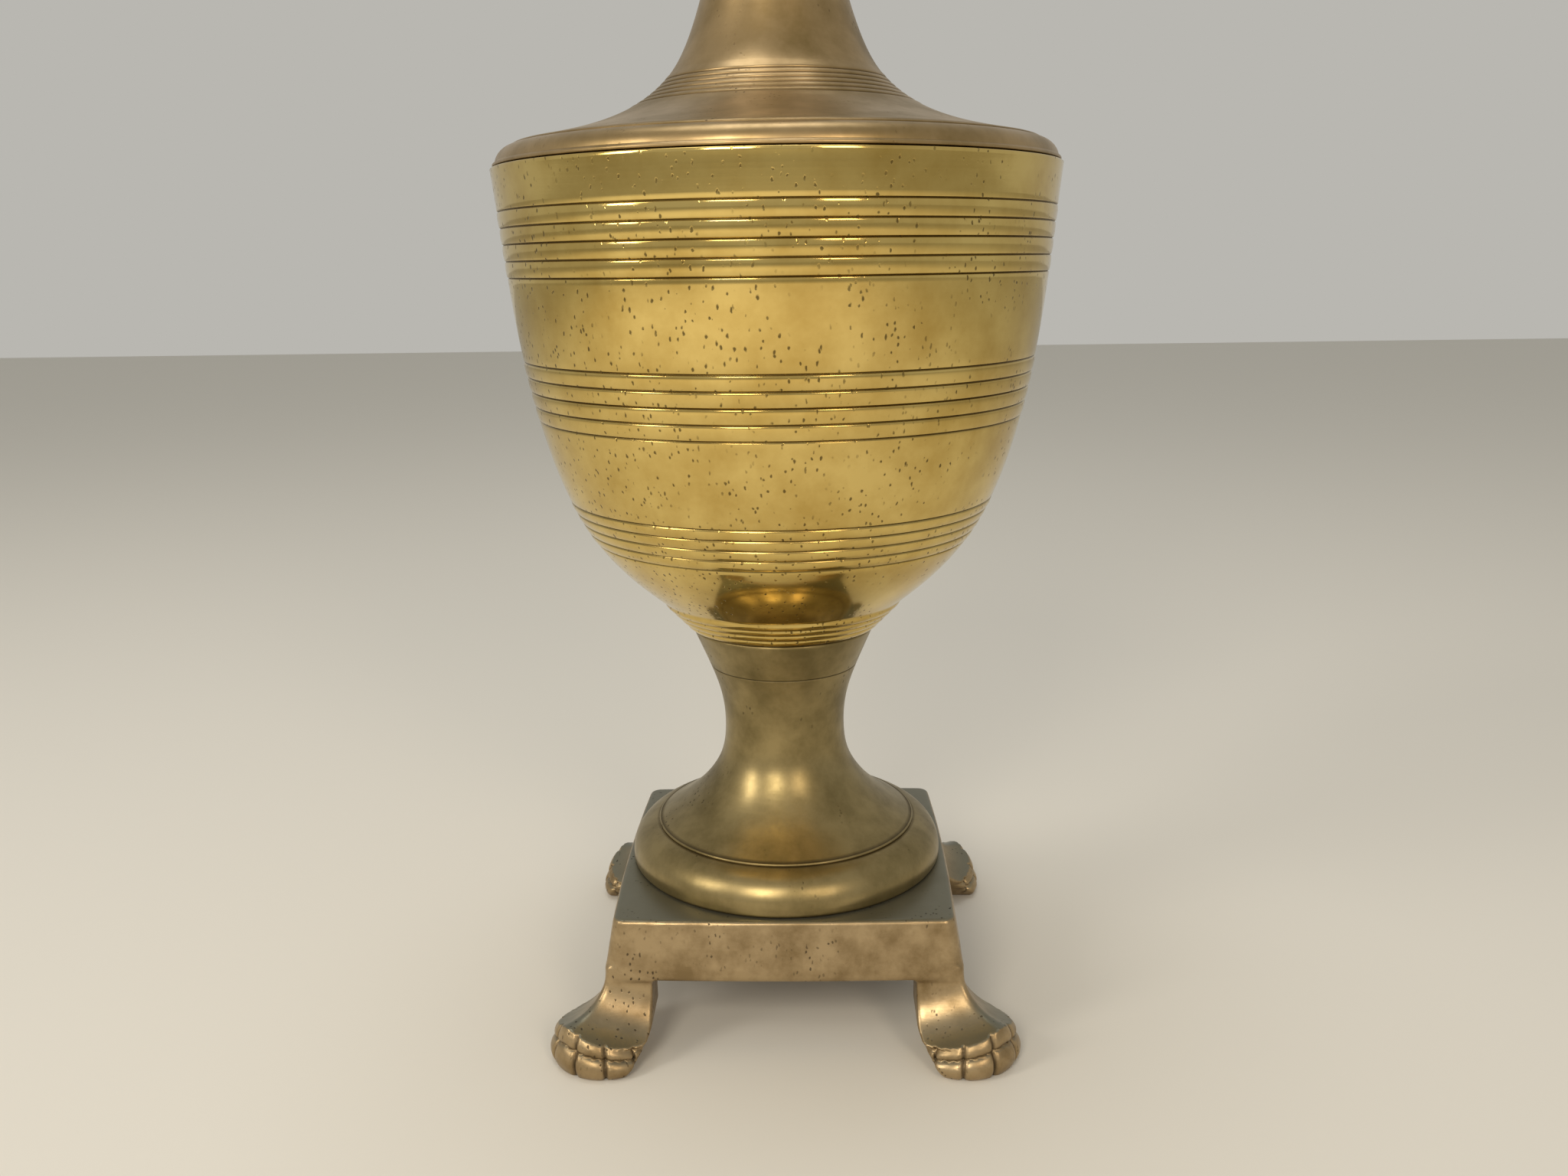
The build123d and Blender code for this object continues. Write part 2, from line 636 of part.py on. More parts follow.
def harp():
    """Bent wire loop: straight legs, a swell round the bulb, and a short flat top."""
    z = joint_z
    top = harp_top_z
    half = harp_half
    right = [(saddle_half, z), (saddle_half, z + 38), (half, z + 72), (half, z + 128), (0.66 * half, top - 26),
             (0.3 * half, top)]
    route = [(x, 0, h) for x, h in right] + [(-x, 0, h) for x, h in right[::-1]]
    radii = [22, 45, 70, 60, 16]
    path = FilletPolyline(*route, radius=radii + radii[::-1])
    section = Plane(origin=route[0], z_dir=(0, 0, 1)) * Circle(wire_r)
    return sweep(section, path)


def harp_ferrule(side):
    z0 = joint_z - ferrule_h / 2
    sleeve = washer(ferrule_r, wire_r + running_clearance, z0, ferrule_h)
    sleeve = fillet(sleeve.edges().filter_by(GeomType.CIRCLE).sort_by(SortBy.RADIUS)[-2:], 0.8)
    return Pos(side * saddle_half, 0, 0) * sleeve


def harp_stud():
    """Collar that the harp's wire passes through, with the threaded stud for shade and finial."""
    collar = post(stud_collar_r, harp_top_z - wire_r - stud_collar_wall, stud_z)
    collar = fillet(collar.edges().filter_by(GeomType.CIRCLE), 0.8)
    collar += post(stud_r, stud_z, stud_z + stud_h)
    return collar - Pos(0, 0, harp_top_z) * Rot(0, 90, 0) * Cylinder(wire_r, 4 * stud_collar_r)


def finial():
    """Turned acorn nut that screws down on the stud."""
    z0 = stud_z
    h = finial_h
    r = finial_r
    tip_r = 0.2 * r
    body = turned(
        Polyline((0, 0, z0), (0.72 * r, 0, z0), (0.72 * r, 0, z0 + 0.10 * h), (0.5 * r, 0, z0 + 0.16 * h),
                 (0.55 * r, 0, z0 + 0.32 * h), (0.8 * r, 0, z0 + 0.36 * h)),
        Spline((0.8 * r, 0, z0 + 0.36 * h), (r, 0, z0 + 0.5 * h), (0.72 * r, 0, z0 + 0.7 * h),
               (0.34 * r, 0, z0 + 0.84 * h), (tip_r, 0, z0 + 0.95 * h)),
        Polyline((tip_r, 0, z0 + 0.95 * h), (0, 0, z0 + h), (0, 0, z0)),
    )
    return body - post(stud_r + running_clearance, z0 - 1, z0 + stud_h + 1)


# ---------------------------------------------------------------- write every piece
pieces = {
    "plinth": plinth(),
    "base_ring": base_ring(),
    "pedestal": pedestal(),
    "urn_body": urn_body(),
    "shoulder_ring": shoulder_ring(),
    "neck": neck(),
    "neck_collar": neck_collar(),
    "vase_cap": vase_cap(),
    "center_rod": center_rod(),
    "strongback": strongback(),
    "lock_washer": lock_washer(),
    "rod_nut": rod_nut(),
    "cord_bushing": cord_bushing(),
    "centring_disc": centring_disc(),
    "urn_washer": urn_washer(),
    "urn_nut": urn_nut(),
    "top_nut": top_nut(),
    "socket_cap": socket_cap(),
    "socket_set_screw": socket_set_screw(),
    "socket_shell": socket_shell(),
    "socket_liner": socket_liner(),
    "switch_block": switch_block(),
    "terminal_screws": terminal_screws(),
    "screw_shell": screw_shell(),
    "centre_contact": centre_contact(),
    "switch_knob": switch_knob(),
    "harp_saddle": harp_saddle(),
    "harp": harp(),
    "harp_ferrule_left": harp_ferrule(-1),
    "harp_ferrule_right": harp_ferrule(1),
    "harp_stud": harp_stud(),
    "finial": finial(),
}

os.makedirs("parts", exist_ok=True)
for node, shape in pieces.items():
    save(shape, node)
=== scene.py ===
# %% [markdown]
# # A brass urn table lamp
# The lamp is a stack of spun, turned and cast brass pieces on one steel rod. The CAD frame gives every
# piece its place and size. Here the pieces that the eye rests on are made again as fine surfaces, with
# the grooves, reeds, softened edges and toes of the real ones, and every piece gets its finish.

# %% Load the frame
import bpy
import numpy as np
from math import cos, radians
from mathutils import Matrix, Vector


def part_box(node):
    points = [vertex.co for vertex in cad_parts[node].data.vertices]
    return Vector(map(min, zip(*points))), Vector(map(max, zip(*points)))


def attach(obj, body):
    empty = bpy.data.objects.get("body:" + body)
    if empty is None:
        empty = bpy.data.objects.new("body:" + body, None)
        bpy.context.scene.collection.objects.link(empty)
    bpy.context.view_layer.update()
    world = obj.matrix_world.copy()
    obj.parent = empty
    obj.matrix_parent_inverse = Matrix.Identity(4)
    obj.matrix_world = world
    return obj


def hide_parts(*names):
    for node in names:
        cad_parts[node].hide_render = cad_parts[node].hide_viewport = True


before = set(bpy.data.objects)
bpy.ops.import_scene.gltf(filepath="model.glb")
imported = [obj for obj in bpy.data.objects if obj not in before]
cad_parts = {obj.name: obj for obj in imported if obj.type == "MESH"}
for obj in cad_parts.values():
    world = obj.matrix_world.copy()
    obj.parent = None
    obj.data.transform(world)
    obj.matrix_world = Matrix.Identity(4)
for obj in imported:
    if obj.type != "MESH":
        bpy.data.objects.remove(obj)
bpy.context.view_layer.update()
MM = 0.001

# %% [markdown]
# ## The camera
# A wide phone lens stands close to the lamp and looks a little down. That makes the urn large, the
# plinth small and the sides lean. A camera is easiest to place by three turns: first roll about its
# own axis, then tilt up from straight down, then swing about the vertical.

# %% Place the camera
camera = bpy.data.objects.new("camera", bpy.data.cameras.new("camera"))
bpy.context.collection.objects.link(camera)
camera.data.sensor_width = 36
camera.data.lens = 30.3
camera.data.clip_start = 0.01
swing = Matrix.Rotation(radians(1.375), 4, "Z")
tilt = Matrix.Rotation(radians(76.16), 4, "X")
roll = Matrix.Rotation(radians(-0.81), 4, "Z")
camera.matrix_world = Matrix.Translation((0.0122, -0.4901, 0.2779)) @ swing @ tilt @ roll
bpy.context.scene.camera = camera
bpy.context.scene.view_settings.view_transform = "Standard"
print("camera at", [round(v, 3) for v in camera.location])

# %% [markdown]
# ## Two small helpers for nodes
# Blender's shaders want linear colours, while a colour is picked as an sRGB hex value. One function
# turns one into the other, and one adds a node, fills its sockets and makes its links.


# %% Colour and node helpers
def linear(hex_colour):
    """sRGB hex to linear RGBA: each channel is ((c + 0.055) / 1.055) to the power 2.4, or c / 12.92 when dark."""
    c = np.array([int(hex_colour[i:i + 2], 16) / 255 for i in (1, 3, 5)])
    c = np.where(c > 0.04045, ((c + 0.055) / 1.055) ** 2.4, c / 12.92)
    return (*c.tolist(), 1.0)


def add(tree, kind, settings=None, inputs=None):
    """Adds a node; an input is either a plain value or the output socket to link from."""
    node = tree.nodes.new("ShaderNode" + kind)
    for key, value in (settings or {}).items():
        setattr(node, key, value)
    for key, value in (inputs or {}).items():
        if isinstance(value, bpy.types.NodeSocket):
            tree.links.new(value, node.inputs[key])
        else:
            node.inputs[key].default_value = value
    return node


print("white in linear:", linear("#FFFFFF"))

# %% [markdown]
# ## The studio
# A plain pale floor under one plain, even light. The softboxes after this give the brass its highlights.

# %% Backdrop
BACKDROP = "#B9B7B1"
world = bpy.data.worlds.new("studio")
bpy.context.scene.world = world
world.use_nodes = True
light = world.node_tree.nodes["Background"]
light.inputs["Color"].default_value = linear(BACKDROP)
light.inputs["Strength"].default_value = 1.0
print("backdrop:", BACKDROP)

# %% Floor
FLOOR_HALF = 4.0
corners = [(-FLOOR_HALF, -FLOOR_HALF, 0), (FLOOR_HALF, -FLOOR_HALF, 0), (FLOOR_HALF, FLOOR_HALF, 0),
           (-FLOOR_HALF, FLOOR_HALF, 0)]
floor_mesh = bpy.data.meshes.new("floor")
floor_mesh.from_pydata(corners, [], [(0, 1, 2, 3)])
floor = bpy.data.objects.new("floor", floor_mesh)
bpy.context.collection.objects.link(floor)
floor_paint = bpy.data.materials.new("matt_floor_paint")
floor_paint.use_nodes = True
paint = floor_paint.node_tree.nodes["Principled BSDF"]
paint.inputs["Base Color"].default_value = linear("#D6D3CB")
paint.inputs["Roughness"].default_value = 0.8
floor_mesh.materials.append(floor_paint)
print("floor half width", FLOOR_HALF, "m")

# %% Softboxes
def softbox(name, place, aim, width, height, watts, colour):
    """A rectangular lamp at place that faces aim, hidden from the camera but not from the brass."""
    data = bpy.data.lights.new(name, "AREA")
    data.shape = "RECTANGLE"
    data.size = width
    data.size_y = height
    data.energy = watts
    data.color = linear(colour)[:3]
    lamp = bpy.data.objects.new(name, data)
    bpy.context.collection.objects.link(lamp)
    turn = (Vector(aim) - Vector(place)).to_track_quat("-Z", "Y").to_matrix().to_4x4()
    lamp.matrix_world = Matrix.Translation(place) @ turn
    lamp.visible_camera = False
    return lamp


middle = (0.0, 0.0, 0.2)
softboxes = [
    softbox("window_far_left", (-1.3, -0.75, 0.9), middle, 0.35, 0.7, 7, "#FFF6E8"),
    softbox("window_left", (-0.42, -1.4, 1.0), middle, 0.45, 0.6, 10, "#FFF4E2"),
    softbox("window_right", (0.62, -1.3, 0.9), middle, 0.35, 0.6, 5, "#FFECD4"),
    softbox("top_light", (-0.1, 0.2, 1.6), middle, 0.9, 0.6, 5, "#FFFFFF"),
]
print("softboxes:", len(softboxes))

# %% [markdown]
# ## Turned pieces: a profile carried round the axis
# A lathe makes a piece by holding a tool at a radius while the work spins. In numbers that is a closed
# outline of (radius, height) points, turned in equal steps, so a point (r, z) at the angle a becomes
# (r cos a, r sin a, z). A second array tells how deep a point lies in a groove, gap or inside corner, and the
# finish darkens it there: partly dirt, where no polishing cloth reaches, and partly painted shade.

# %% Profile tools
STEPS = 240


def smooth_through(points, count=1600):
    """Natural cubic spline by chord length: the curve of least bending through the points."""
    p = np.asarray(points, float)
    t = np.r_[0, np.cumsum(np.hypot(*np.diff(p, axis=0).T))]
    h = np.diff(t)
    system = np.eye(len(t))
    slopes = np.diff(p, axis=0) / h[:, None]
    right = np.zeros_like(p)
    inner = np.arange(1, len(t) - 1)
    system[inner, inner - 1] = h[:-1]
    system[inner, inner] = 2 * (h[:-1] + h[1:])
    system[inner, inner + 1] = h[1:]
    right[1:-1] = 6 * np.diff(slopes, axis=0)
    bend = np.linalg.solve(system, right)
    u = np.linspace(0, t[-1], count)
    k = np.clip(np.searchsorted(t, u) - 1, 0, len(h) - 1)
    a, b, w = (t[k + 1] - u)[:, None], (u - t[k])[:, None], h[k][:, None]
    return ((bend[k] * a ** 3 + bend[k + 1] * b ** 3) / (6 * w) + (p[k] / w - bend[k] * w / 6) * a
            + (p[k + 1] / w - bend[k + 1] * w / 6) * b)


def eased(outline, size=0.3, sharp=20):
    """A corner that turns by more than sharp degrees becomes a quadratic curve from size before it to size after."""
    p = np.asarray(outline, float)
    before = np.roll(p, 1, axis=0) - p
    after = np.roll(p, -1, axis=0) - p
    long_before = np.hypot(*before.T)[:, None]
    long_after = np.hypot(*after.T)[:, None]
    straight = -(before * after).sum(axis=1) / (long_before * long_after)[:, 0]
    cut = np.minimum(size, 0.4 * np.minimum(long_before, long_after))
    a, b = p + before / long_before * cut, p + after / long_after * cut
    t = np.linspace(0, 1, 5)[:, None]
    parts = []
    for i in range(len(p)):
        if straight[i] < cos(radians(sharp)):
            parts.append((1 - t) ** 2 * a[i] + 2 * t * (1 - t) * p[i] + t ** 2 * b[i])
        else:
            parts.append(p[i:i + 1])
    return np.concatenate(parts)


def arc(start, through, end, count=16):
    """Points on the circle through three points; its centre is where two perpendicular bisectors cross."""
    a, b, c = (np.asarray(v, float) for v in (start, through, end))
    lines = 2 * np.array([b - a, c - a])
    centre = np.linalg.solve(lines, [b @ b - a @ a, c @ c - a @ a])
    angles = [np.arctan2(*(v - centre)[::-1]) for v in (a, b, c)]
    turn = np.unwrap(angles)
    if abs(turn[2] - turn[0]) < 1e-6 or (turn[1] - turn[0]) * (turn[2] - turn[1]) < 0:
        turn[2] = turn[0] + 2 * (turn[1] - turn[0])
    angle = np.linspace(turn[0], turn[2], count)
    return centre + np.hypot(*(a - centre)) * np.stack([np.cos(angle), np.sin(angle)], axis=1)


def shell(name, outline, node, depth=None, steps=STEPS):
    """Carries a closed outline (r, z in mm) round Z. Quads run anticlockwise seen from outside."""
    p = np.asarray(outline, float) * MM
    angle = np.linspace(0, 2 * np.pi, steps, endpoint=False)
    ring = np.stack([np.cos(angle), np.sin(angle)], axis=1)
    flat = p[:, None, :1] * ring[None]
    up = np.broadcast_to(p[:, None, 1:], (len(p), steps, 1))
    points = np.concatenate([flat, up], axis=2).reshape(-1, 3)
    i, j = np.meshgrid(np.arange(len(p)), np.arange(steps), indexing="ij")
    i2, j2 = (i + 1) % len(p), (j + 1) % steps
    quads = np.stack([i * steps + j, i * steps + j2, i2 * steps + j2, i2 * steps + j], axis=2).reshape(-1, 4)
    # The array darkens grooves, gaps and inside corners: partly dirt, partly painted shade.
    dirt_and_shade = np.zeros(len(p)) if depth is None else depth
    return piece(name, points, quads, np.repeat(dirt_and_shade, steps), node)


def piece(name, points, faces, dirt_and_shade, node):
    """Puts arrays into a mesh, shaded smooth all over, and lets it stand for its CAD node."""
    mesh = bpy.data.meshes.new(name)
    mesh.from_pydata(points.tolist(), [], faces.tolist())
    # This attribute carries the darkening of grooves, gaps and inside corners: partly dirt, partly painted shade.
    mesh.attributes.new("dirt_and_shade", "FLOAT", "POINT").data.foreach_set("value", dirt_and_shade.astype(np.float32))
    mesh.shade_smooth()
    made = bpy.data.objects.new(name, mesh)
    bpy.context.collection.objects.link(made)
    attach(made, "body")
    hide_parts(node)
    triangles = sum(len(f.vertices) - 2 for f in mesh.polygons)
    print(f"{name}: {len(points)} points, {triangles} triangles")
    return made


def reach(node):
    """Largest radius, lowest and highest z of a CAD node, in mm."""
    low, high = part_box(node)
    return high[0] / MM, low[2] / MM, high[2] / MM


def cut_lines(z, lines, width, depth):
    """V grooves: each falls to its full depth at its line and rises again within half its width."""
    away = np.abs(z[:, None] - np.asarray(lines)[None]) / (width / 2)
    return depth * np.clip(1 - away, 0, 1).max(axis=1) ** 1.2


def stations(curve, step, lines, width):
    """Heights to sample a profile at: even steps along it, and nine across every groove."""
    along = np.r_[0, np.cumsum(np.hypot(*np.diff(curve, axis=0).T))]
    even = np.interp(np.arange(0, along[-1], step), along, curve[:, 1])
    close = (np.asarray(lines)[:, None] + np.linspace(-0.6, 0.6, 9)[None] * width).ravel()
    z = np.unique(np.round(np.r_[even, close, curve[0, 1], curve[-1, 1]], 3))
    return z[(z >= curve[0, 1]) & (z <= curve[-1, 1])]


def moved_in(curve, depth):
    """Each point of an upward profile moved by its depth towards the axis, square to the profile."""
    along = np.gradient(curve, axis=0)
    along /= np.hypot(*along.T)[:, None]
    side = np.stack([-along[:, 1], along[:, 0]], axis=1)
    return curve + side * np.asarray(depth).reshape(-1, 1)


print("profile tools ready, steps round the axis:", STEPS)

# %% [markdown]
# ## The urn
# The bowl is spun from sheet over a former, and the grooves are cut afterwards with a pointed tool, in
# three groups of five. Between two grooves of a group the metal swells by about a quarter of a millimetre,
# which breaks the reflections into short bright steps. Its foot is a cone turned into four reeds.

# %% Urn body
ROD_HOLE = 5.2
STEM_R = 35.0
BAND_OUT, BAND_H, REEDS = 10.0, 10.4, 4
URN_WALL = 2.0
GROOVE_W, GROOVE_D, SWELL = 0.95, 0.5, 0.28
groove_groups = [(35.2, 3.85), (80.3, 5.2), (129.8, 5.5)]   # height of the lowest line, spacing

rim_r, urn_z, rim_z = reach("urn_body")
bowl_z = urn_z + BAND_H
bowl_shares = [(0, 0), (0.184, 0.054), (0.432, 0.15), (0.644, 0.292), (0.803, 0.484), (0.90, 0.678),
               (0.96, 0.87), (1, 1)]
bowl_r = STEM_R + BAND_OUT
bowl = smooth_through([(bowl_r + (rim_r - bowl_r) * a, bowl_z + (rim_z - bowl_z) * b) for a, b in bowl_shares])
urn_lines = np.concatenate([urn_z + first + pitch * np.arange(5) for first, pitch in groove_groups])
z = stations(bowl, 2.2, urn_lines, GROOVE_W)
swell = np.zeros(len(z))
for first, pitch in groove_groups:
    step = (z - urn_z - first) / pitch
    swell += np.where((step > 0) & (step < 4), SWELL * np.sin(np.pi * (step % 1)), 0)
line_depth = cut_lines(z, urn_lines, GROOVE_W, GROOVE_D)
side = moved_in(np.stack([np.interp(z, bowl[:, 1], bowl[:, 0]), z], axis=1), line_depth - swell)
side[:, 0] = np.minimum(side[:, 0], rim_r)

reed = np.linspace(0, 1, 10, endpoint=False)
climb = (np.arange(REEDS)[:, None] + reed[None]).ravel() / REEDS
round_out = 0.75 * np.sqrt(np.clip(1 - (2 * (climb * REEDS % 1) - 1) ** 2, 0, 1))
slope = np.hypot(BAND_OUT, BAND_H)
band = np.stack([STEM_R + BAND_OUT * climb + round_out * BAND_H / slope,
                 urn_z + BAND_H * climb - round_out * BAND_OUT / slope], axis=1)
band[:, 1] = np.maximum(band[:, 1], urn_z)
inside = moved_in(bowl[::40], URN_WALL)[::-1]
well = [(STEM_R - URN_WALL, bowl_z), (STEM_R - URN_WALL, urn_z + 3), (ROD_HOLE, urn_z + 3), (ROD_HOLE, urn_z)]
rim_edge = [(rim_r - 0.35, rim_z), (rim_r - URN_WALL, rim_z)]
side[-1, 1] -= 0.3
urn_outline = np.concatenate([band, side, rim_edge, inside[1:-1], well])
# Dark in the creases between the foot's reeds and in the grooves: partly dirt, partly painted shade.
urn_dirt_and_shade = np.concatenate([0.9 * (round_out < 0.2), line_depth / GROOVE_D, np.zeros(2 + len(inside) - 2 + len(well))])
urn = shell("urn_bowl", urn_outline, "urn_body", urn_dirt_and_shade)

# %% [markdown]
# ## Shoulder and neck
# A separate turned ring drops into the rim. It is a shade smaller than the bowl, so a dark line shows
# all round, and the finish darkens that line further, partly as dirt and partly as painted shade. The trumpet
# neck stands on it: six fine reeds are cut where it begins to narrow, and one raised bead closes its foot.

# %% Shoulder ring
_, spigot_z, ring_top = reach("shoulder_ring")
neck_wide, neck_z, neck_top = reach("neck")
shoulder_r = 98.9
spigot_r = rim_r - URN_WALL - 1.4
dome = arc((shoulder_r - 0.9, rim_z + 1.9), ((shoulder_r + neck_wide) / 2 + 0.9, neck_z - 1.5),
           (neck_wide + 1.9, neck_z - 0.1), 24)
bead = arc((neck_wide + 1.7, neck_z - 0.15), (neck_wide + 0.9, neck_z + 0.6), (neck_wide + 0.2, neck_z), 9)
shoulder_outline = np.concatenate([
    [(spigot_r - 2, spigot_z), (spigot_r, spigot_z), (spigot_r, rim_z + 0.35), (shoulder_r - 0.3, rim_z + 0.35),
     (shoulder_r, rim_z + 0.65), (shoulder_r, rim_z + 1.3), (shoulder_r - 0.5, rim_z + 1.75)],
    dome, bead,
    [(neck_wide - 8, neck_z), (neck_wide - 8, neck_z - 2), (spigot_r - 2, rim_z)],
])
shoulder_outline = eased(shoulder_outline, 0.25)
# The gap at the urn's rim and the crease at the bead's foot are darkened: partly dirt, partly painted shade.
near_rim = np.clip(1 - np.abs(shoulder_outline[:, 1] - rim_z - 0.35) / 0.35, 0, 1)
near_bead = np.clip(1 - np.abs(shoulder_outline[:, 0] - neck_wide - 1.8) / 0.25, 0, 1)
shoulder = shell("shoulder_cap", shoulder_outline, "shoulder_ring", np.maximum(near_rim, near_bead))

# %% Neck
neck_narrow_r = 13.5
NECK_WALL = 1.8
neck_shares = [(0, 0.006), (0.396, 0.07), (0.583, 0.13), (0.71, 0.207), (0.795, 0.309), (0.863, 0.441),
               (0.934, 0.65), (1, 1)]
neck_h = neck_top - neck_z
trumpet = smooth_through([(neck_wide - (neck_wide - neck_narrow_r) * a, neck_z + neck_h * b)
                          for a, b in neck_shares])
neck_lines = neck_z + 13.4 + 1.62 * np.arange(6)
z = stations(trumpet, 1.6, neck_lines, 0.8)
neck_cut = cut_lines(z, neck_lines, 0.75, 0.42)
reed_step = (z - neck_lines[0]) / 1.62
neck_swell = np.where((reed_step > -0.6) & (reed_step < 5.6), 0.16 * np.abs(np.sin(np.pi * (reed_step % 1))), 0)
neck_side = moved_in(np.stack([np.interp(z, trumpet[:, 1], trumpet[:, 0]), z], axis=1), neck_cut - neck_swell)
neck_in = moved_in(trumpet[::50], NECK_WALL)[::-1]
neck_in = neck_in[(neck_in[:, 1] > neck_z + 1) & (neck_in[:, 1] < neck_top - 0.5)]
neck_outline = np.concatenate([
    [(neck_wide - 4.5, neck_z), (neck_wide - 0.2, neck_z), (neck_wide, neck_z + 0.2)], neck_side[1:],
    [(neck_narrow_r - NECK_WALL, neck_top)], neck_in])
# Dark where the neck's foot sits on the shoulder and in the reed grooves: partly dirt, partly painted shade.
neck_dirt_and_shade = np.concatenate([[0, 1, 0.6], (neck_cut / 0.42)[1:], np.zeros(1 + len(neck_in))])
neck = shell("trumpet_neck", neck_outline, "neck", neck_dirt_and_shade)

# %% Collar and vase cap
collar_r, collar_low, collar_top = reach("neck_collar")
collar_z = neck_top
collar_outline = eased(np.concatenate([
    [(neck_narrow_r - NECK_WALL - 0.15, collar_low), (neck_narrow_r - NECK_WALL - 0.15, collar_z),
     (collar_r - 2.6, collar_z)],
    arc((collar_r - 2.2, collar_z + 0.1), (collar_r, collar_z + 2.5), (collar_r - 2, collar_z + 5), 18),
    [(collar_r - 2.9, collar_z + 5.2), (collar_r - 3.1, collar_z + 6.2), (collar_r - 3.6, collar_top),
     (ROD_HOLE, collar_top), (ROD_HOLE, collar_low)],
]), 0.25)
# Dark in the crease above the collar's bead: partly dirt, partly painted shade.
collar_dirt_and_shade = np.clip(1 - np.abs(collar_outline[:, 1] - collar_z - 5.1) / 0.3, 0, 1) * (collar_outline[:, 0] > 12)
collar = shell("collar_bead", collar_outline, "neck_collar", collar_dirt_and_shade, 96)

cup_r, cup_z, cup_top = reach("vase_cap")
cup_outline = eased(np.concatenate([
    [(ROD_HOLE, cup_z), (cup_r - 3, cup_z)],
    arc((cup_r - 2.8, cup_z + 0.1), (cup_r - 0.9, cup_z + 1.7), (cup_r - 0.15, cup_z + 3.9), 12),
    [(cup_r, cup_z + 4.1), (cup_r, cup_z + 5.2), (cup_r - 0.9, cup_z + 5.6), (cup_r - 3, cup_top),
     (ROD_HOLE, cup_top)],
]), 0.25)
cup = shell("vase_cup", cup_outline, "vase_cap", None, 96)

# %% [markdown]
# ## Pedestal and base ring
# The pedestal is one casting, turned on the outside. A sharp lip stands all round its bell, and one
# scribed line shows where its waist widens again. The ring under it is a quarter round.

# %% Pedestal
PEDESTAL_WALL = 3.0
WAIST_R = 23.1
lip_r, bell_z, stem_z = reach("pedestal")
pedestal_curve = smooth_through([
    (lip_r - 0.9, bell_z + 1.15), (lip_r - 11.7, bell_z + 8.4), (WAIST_R + 7.4, bell_z + 16.5),
    (WAIST_R + 1.7, bell_z + 26.5), (WAIST_R, bell_z + 37), (WAIST_R + 1.2, bell_z + 51),
    (STEM_R - 5.6, stem_z - 13), (STEM_R, stem_z)])
scribed = [bell_z + 63.4]
z = stations(pedestal_curve, 1.2, scribed, 0.8)
scribe = cut_lines(z, scribed, 0.7, 0.25)
pedestal_side = moved_in(np.stack([np.interp(z, pedestal_curve[:, 1], pedestal_curve[:, 0]), z], axis=1), scribe)
pedestal_in = moved_in(pedestal_curve[::60], PEDESTAL_WALL)[::-1]
pedestal_in = pedestal_in[(pedestal_in[:, 1] < stem_z - 4) & (pedestal_in[:, 1] > bell_z + 4)]
lip = [(lip_r - 0.25, bell_z), (lip_r, bell_z + 0.3), (lip_r, bell_z + 0.8), (lip_r - 0.3, bell_z + 1.1),
       (lip_r - 0.65, bell_z + 1.05)]
pedestal_outline = np.concatenate([
    [(lip_r - PEDESTAL_WALL, bell_z)], lip, pedestal_side,
    [(ROD_HOLE, stem_z), (ROD_HOLE, stem_z - PEDESTAL_WALL), (STEM_R - 6, stem_z - PEDESTAL_WALL)], pedestal_in])
# Dark where the lip sits on the base ring, in the crease above the lip and in the scribed line: partly dirt, partly
# painted shade.
pedestal_dirt_and_shade = np.zeros(len(pedestal_outline))
pedestal_dirt_and_shade[1] = 1
pedestal_dirt_and_shade[5] = 0.7
pedestal_dirt_and_shade[6:6 + len(scribe)] = scribe / 0.25
pedestal = shell("pedestal_turning", pedestal_outline, "pedestal", pedestal_dirt_and_shade)

# %% Base ring
ring_r, ring_z, ring_top_z = reach("base_ring")
ring_h = ring_top_z - ring_z
quarter = arc((lip_r + 0.6, ring_top_z), (lip_r + (ring_r - lip_r) * 0.80, ring_z + ring_h * 0.66),
              (ring_r, ring_z + 2.2), 40)[::-1]
ring_outline = eased(np.concatenate([
    [(ring_r - 4.8, ring_z), (ring_r - 0.8, ring_z), (ring_r - 0.1, ring_z + 0.9), (ring_r, ring_z + 1.6)],
    quarter, [(lip_r - 6, ring_top_z), (lip_r - 6, ring_top_z - 4), (ring_r - 4.8, ring_z + 3)]]), 0.3)
# Dark along the foot where the ring stands on the plinth and where the pedestal's lip sits on it: partly dirt, partly
# painted shade.
ring_dirt_and_shade = np.clip(1 - (ring_outline[:, 1] - ring_z) / 0.7, 0, 1) + \
    np.clip(1 - np.abs(ring_outline[:, 0] - lip_r - 0.2) / 0.6, 0, 1) * (ring_outline[:, 1] > ring_top_z - 0.4)
ring = shell("base_ring_turning", ring_outline, "base_ring", ring_dirt_and_shade)

# %% [markdown]
# ## The cast plinth
# Block, legs and paws are one sand casting, filed and polished, so every edge is a little round and
# no face starts or ends at a seam. Two parameters can't describe such a branching shape. A field can:
# a number for each point of space, below zero inside the metal. Simple fields are joined by a soft
# maximum, which rounds an outside edge, or a soft minimum, which fills an inside corner.

# %% Soft joins of fields
def soft_max(a, b, size):
    """The larger of two fields, lifted by up to size / 4 where they are nearly equal, which rounds the edge."""
    near = np.maximum(size - np.abs(a - b), 0) / size
    return np.maximum(a, b) + near * near * size / 4


def soft_min(a, b, size):
    return -soft_max(-a, -b, size)


# %% Sizes of the casting
_, _, top_z = reach("plinth")
HALF_TOP, HALF_FOOT, BOW, CORNER = 61.2, 64.2, 1.5, 4.0
APRON_Z, APRON_WALL, PLATE = 27.6, 5.0, 6.0
LEG_IN, UNDERCUT = 47.5, 8.5
COVE_R, COVE_Z, COVE_RISE = 20.0, 32.5, 0.3
PAW_AT, PAW_R, TOE_DEG = 64.5, 20.5, 34.0


